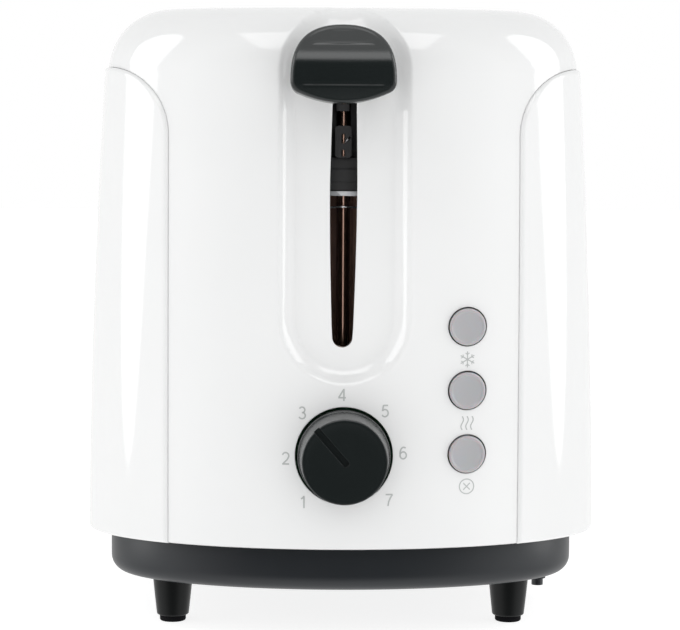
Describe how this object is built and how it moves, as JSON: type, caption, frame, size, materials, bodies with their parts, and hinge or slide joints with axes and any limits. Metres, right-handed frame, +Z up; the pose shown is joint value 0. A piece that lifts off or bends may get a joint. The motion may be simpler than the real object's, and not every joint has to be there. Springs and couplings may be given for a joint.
{
  "type": "pop up toaster",
  "caption": "Pop-up toaster for bread slices: white body with a sliding front lever, browning dial, push buttons, wide slots and a pull-out crumb tray.",
  "frame": {"origin": "on the table, under the middle of the whole object's box", "axes": "+Z up, controls and lever on the -Y end, +X to the right when facing the controls"},
  "size_m": [0.1658, 0.298, 0.2006],
  "materials": {
    "white_plastic": "gloss white, injection moulded",
    "charcoal_plastic": "satin charcoal",
    "knob_plastic": "semi-gloss dark slate",
    "button_plastic": "translucent grey",
    "black_plastic": "matt black",
    "rubber": "matt",
    "bright_steel": "bright rolled",
    "black_metal": "black oxide",
    "galvanised_steel": "galvanised sheet",
    "mica": "mica board with resistance wire",
    "phenolic": "dark brown insulating board",
    "copper_winding": "enamelled copper wire",
    "board": "green solder mask"
  },
  "bodies": {
    "housing": {"body_shell": "white_plastic", "left_side_panel": "white_plastic", "right_side_panel": "white_plastic", "base": "charcoal_plastic", "cord_gland": "black_plastic", "browning_potentiometer": "galvanised_steel", "guide_rod": "bright_steel", "return_spring": "bright_steel", "electromagnet_core": "galvanised_steel", "electromagnet_coil": "copper_winding", "control_board": "board", "board_bracket": "galvanised_steel", "front_end_plate": "galvanised_steel", "rear_end_plate": "galvanised_steel", "left_heat_shield": "galvanised_steel", "right_heat_shield": "galvanised_steel", "slot_frame": "bright_steel", "left_heater": "mica", "centre_heater": "mica", "right_heater": "mica", "insulating_sheet": "phenolic", "terminal_block": "white_plastic", "left_cord_hook": "charcoal_plastic", "right_cord_hook": "charcoal_plastic", "front_left_foot": "charcoal_plastic", "front_left_pad": "rubber", "front_left_base_screw": "bright_steel", "front_right_foot": "charcoal_plastic", "front_right_pad": "rubber", "front_right_base_screw": "bright_steel", "rear_left_foot": "charcoal_plastic", "rear_left_pad": "rubber", "rear_left_base_screw": "bright_steel", "rear_right_foot": "charcoal_plastic", "rear_right_pad": "rubber", "rear_right_base_screw": "bright_steel", "cancel_switch": "black_plastic", "reheat_switch": "black_plastic", "defrost_switch": "black_plastic"},
    "carriage_assembly": {"carriage": "galvanised_steel", "lever_arm": "black_metal", "lever_knob": "knob_plastic", "latch_plate": "bright_steel", "left_bread_lifter": "bright_steel", "right_bread_lifter": "bright_steel"},
    "left_inner_guide": {"left_inner_bread_guide": "bright_steel"},
    "left_outer_guide": {"left_outer_bread_guide": "bright_steel"},
    "right_inner_guide": {"right_inner_bread_guide": "bright_steel"},
    "right_outer_guide": {"right_outer_bread_guide": "bright_steel"},
    "dial": {"browning_dial": "knob_plastic", "dial_shaft": "bright_steel"},
    "cancel_key": {"cancel_button": "button_plastic"},
    "reheat_key": {"reheat_button": "button_plastic"},
    "defrost_key": {"defrost_button": "button_plastic"},
    "tray": {"crumb_tray": "charcoal_plastic"}
  },
  "joints": [
    {"name": "lever_slide", "type": "slide", "parent": "housing", "child": "carriage_assembly", "axis": [0, 0, 1], "range_m": [-0.074, 0], "stiffness_N_per_m": 60, "springref_m": 0.06, "deforming": ["return_spring"]},
    {"name": "left_inner_swing", "type": "hinge", "parent": "housing", "child": "left_inner_guide", "pos_m": [-0.01065, 0.011, 0.044], "axis": [0, 1, 0], "range_deg": [-4.2, 0]},
    {"name": "left_outer_swing", "type": "hinge", "parent": "housing", "child": "left_outer_guide", "pos_m": [-0.03965, 0.011, 0.044], "axis": [0, 1, 0], "range_deg": [0, 4.2]},
    {"name": "right_inner_swing", "type": "hinge", "parent": "housing", "child": "right_inner_guide", "pos_m": [0.01065, 0.011, 0.044], "axis": [0, 1, 0], "range_deg": [0, 4.2]},
    {"name": "right_outer_swing", "type": "hinge", "parent": "housing", "child": "right_outer_guide", "pos_m": [0.03965, 0.011, 0.044], "axis": [0, 1, 0], "range_deg": [-4.2, 0]},
    {"name": "dial_turn", "type": "hinge", "parent": "housing", "child": "dial", "pos_m": [0, -0.125, 0.0607], "axis": [0, -1, 0], "range_deg": [-177, 95]},
    {"name": "cancel_press", "type": "slide", "parent": "housing", "child": "cancel_key", "axis": [0, 1, 0], "range_m": [0, 0.0015], "stiffness_N_per_m": 300, "springref_m": -0.001},
    {"name": "reheat_press", "type": "slide", "parent": "housing", "child": "reheat_key", "axis": [0, 1, 0], "range_m": [0, 0.0015], "stiffness_N_per_m": 300, "springref_m": -0.001},
    {"name": "defrost_press", "type": "slide", "parent": "housing", "child": "defrost_key", "axis": [0, 1, 0], "range_m": [0, 0.0015], "stiffness_N_per_m": 300, "springref_m": -0.001},
    {"name": "tray_slide", "type": "slide", "parent": "housing", "child": "tray", "axis": [0, 1, 0], "range_m": [0, 0.19]}
  ],
  "couplings": [
    {"joint": "left_inner_swing", "follows": "lever_slide", "rad_per_m": 0.9432},
    {"joint": "left_outer_swing", "follows": "lever_slide", "rad_per_m": -0.9432},
    {"joint": "right_inner_swing", "follows": "lever_slide", "rad_per_m": -0.9432},
    {"joint": "right_outer_swing", "follows": "lever_slide", "rad_per_m": 0.9432}
  ]
}
